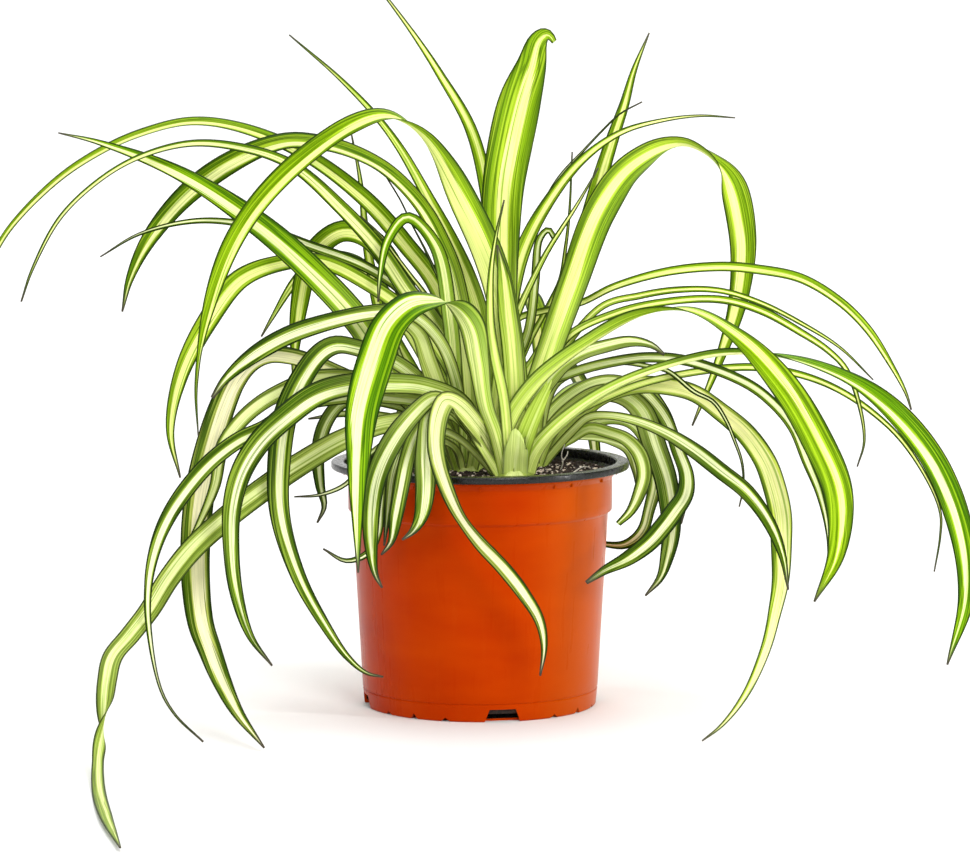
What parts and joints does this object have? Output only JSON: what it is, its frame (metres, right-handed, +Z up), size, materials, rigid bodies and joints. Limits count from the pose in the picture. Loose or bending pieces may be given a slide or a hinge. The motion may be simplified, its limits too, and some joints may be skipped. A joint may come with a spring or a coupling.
{
  "type": "potted spider plant",
  "caption": "Spider plant with long arching striped leaves in a thin round plastic nursery pot filled with soil.",
  "frame": {"origin": "centre of the pot's foot, on the surface that it stands on", "axes": "+Z up along the pot's axis, -Y towards the front, from which the plant is seen in the picture, +X to the right"},
  "size_m": [0.5098, 0.5675, 0.3668],
  "materials": {
    "pot": "satin",
    "soil": "rough",
    "leaf": "satin"
  },
  "bodies": {
    "root": {"pot": "pot", "soil": "soil", "front_rosette": "leaf", "left_rosette": "leaf", "back_rosette": "leaf", "right_rosette": "leaf"}
  },
  "joints": []
}
